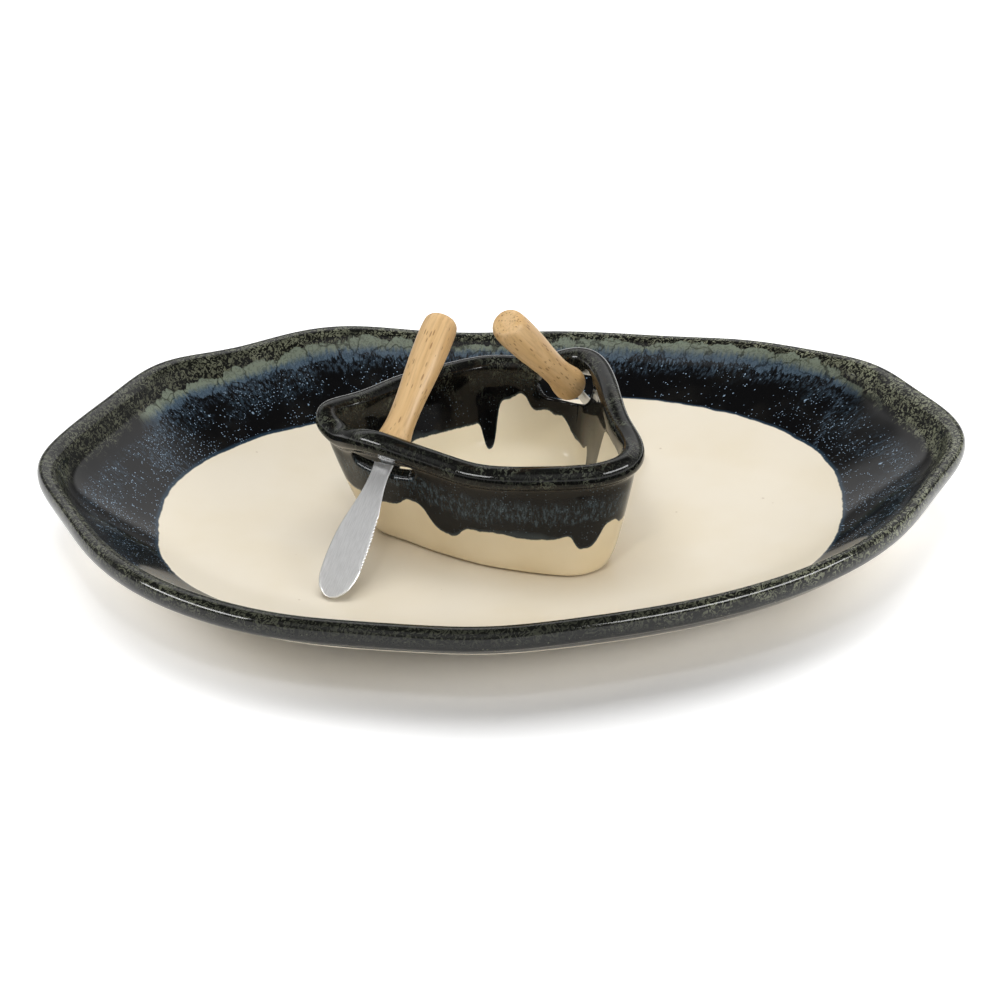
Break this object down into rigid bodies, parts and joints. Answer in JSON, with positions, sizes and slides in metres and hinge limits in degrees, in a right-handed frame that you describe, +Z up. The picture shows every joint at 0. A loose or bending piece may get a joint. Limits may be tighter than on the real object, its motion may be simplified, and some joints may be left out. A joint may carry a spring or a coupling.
{
  "type": "chip and dip server",
  "caption": "Oval stoneware chip platter with a loose slotted dip bowl standing in its well and wooden-handled spreaders threaded through the bowl's side slots.",
  "frame": {"origin": "middle of the foot of the platter, on the table plane", "axes": "+X along the length of the platter, +Y to its back, +Z up"},
  "size_m": [0.3966, 0.2949, 0.1068],
  "materials": {
    "platter_glaze": "gloss reactive glaze, black with blue-green flow over a cream well",
    "bowl_glaze": "gloss reactive glaze, black rim over cream",
    "handle_wood": "satin varnish",
    "blade_steel": "fine brushed",
    "bedding": "set adhesive"
  },
  "bodies": {
    "platter": {"platter": "platter_glaze"},
    "dip_bowl": {"dip_bowl": "bowl_glaze"},
    "front_spreader": {"front_spreader_handle": "handle_wood", "front_spreader_blade": "blade_steel", "front_spreader_tang_bedding": "bedding"},
    "rear_spreader": {"rear_spreader_handle": "handle_wood", "rear_spreader_blade": "blade_steel", "rear_spreader_tang_bedding": "bedding"}
  },
  "joints": [
    {"name": "bowl_lift", "type": "slide", "parent": "platter", "child": "dip_bowl", "axis": [0, 0, 1], "range_m": [0, 0.12]},
    {"name": "front_spreader_draw", "type": "slide", "parent": "dip_bowl", "child": "front_spreader", "axis": [0.3429, 0.6888, 0.6388], "range_m": [0, 0.14]},
    {"name": "rear_spreader_draw", "type": "slide", "parent": "dip_bowl", "child": "rear_spreader", "axis": [-0.448, -0.561, 0.6961], "range_m": [0, 0.14]}
  ]
}
